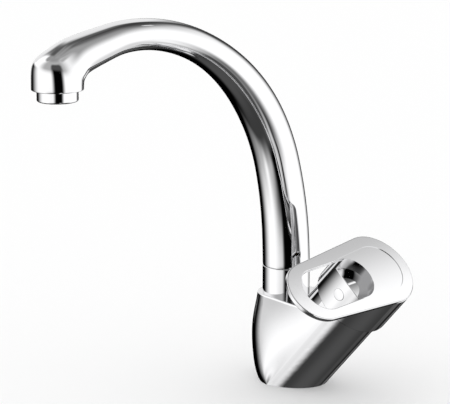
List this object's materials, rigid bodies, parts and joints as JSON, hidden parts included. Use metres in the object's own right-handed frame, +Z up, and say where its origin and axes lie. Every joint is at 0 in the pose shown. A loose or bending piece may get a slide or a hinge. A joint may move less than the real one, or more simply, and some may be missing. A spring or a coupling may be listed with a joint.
{
  "type": "kitchen mixer tap",
  "caption": "Single-lever kitchen sink mixer: slanted barrel body, tall swivelling swan-neck spout with aerator, and a loop handle that lifts and turns.",
  "frame": {"origin": "centre of the base's flat underside, where the tap stands on the worktop", "axes": "+Z up from the worktop, spout towards -Y, cartridge barrel and handle leaning towards +X"},
  "size_m": [0.132, 0.2578, 0.2754],
  "materials": {
    "chrome": "polished chrome plate on brass",
    "brass": "bare turned brass",
    "steel": "stainless steel",
    "ceramic": "lapped alumina ceramic",
    "acetal": "white acetal",
    "housing": "grey moulded polymer",
    "rubber": "black nitrile rubber"
  },
  "bodies": {
    "tap_body": {"body_casting": "chrome", "base_gasket": "rubber", "retaining_collar": "chrome", "cartridge_base": "housing", "port_seal_cold": "rubber", "port_seal_hot": "rubber", "port_seal_mixed": "rubber", "fixed_ceramic_disc": "ceramic", "cartridge_housing": "housing", "retaining_nut": "brass", "dome_cover": "chrome"},
    "swivel_spout": {"spout": "chrome", "retaining_ring": "steel", "glide_ring": "acetal", "shank_o_ring_1": "rubber", "shank_o_ring_2": "rubber", "aerator_housing": "chrome", "aerator_insert": "acetal", "aerator_mesh": "steel", "aerator_washer": "rubber"},
    "turning_head": {"turret": "acetal", "stem_pin": "steel"},
    "lever": {"loop_handle": "chrome", "lever_stem": "brass", "grub_screw": "steel", "index_plug": "chrome"},
    "disc_slide": {"disc_carrier": "acetal", "moving_ceramic_disc": "ceramic"}
  },
  "joints": [
    {"name": "spout_swivel", "type": "hinge", "parent": "tap_body", "child": "swivel_spout", "pos_m": [-0.00856, 0, 0.064], "axis": [0, 0, 1], "range_deg": [-70, 70]},
    {"name": "handle_turn", "type": "hinge", "parent": "tap_body", "child": "turning_head", "pos_m": [-0.00883, 0, 0], "axis": [0.6756, 0, 0.7373], "range_deg": [-50, 50]},
    {"name": "handle_lift", "type": "hinge", "parent": "turning_head", "child": "lever", "pos_m": [0.05738, 0, 0.07225], "axis": [-0.7359, -0.061, 0.6743], "range_deg": [0, 25]},
    {"name": "disc_travel", "type": "slide", "parent": "turning_head", "child": "disc_slide", "axis": [0.045, -0.9981, -0.0412], "range_m": [0, 0.00359]}
  ],
  "couplings": [
    {"joint": "disc_travel", "follows": "handle_lift", "m_per_rad": 0.0082328}
  ]
}
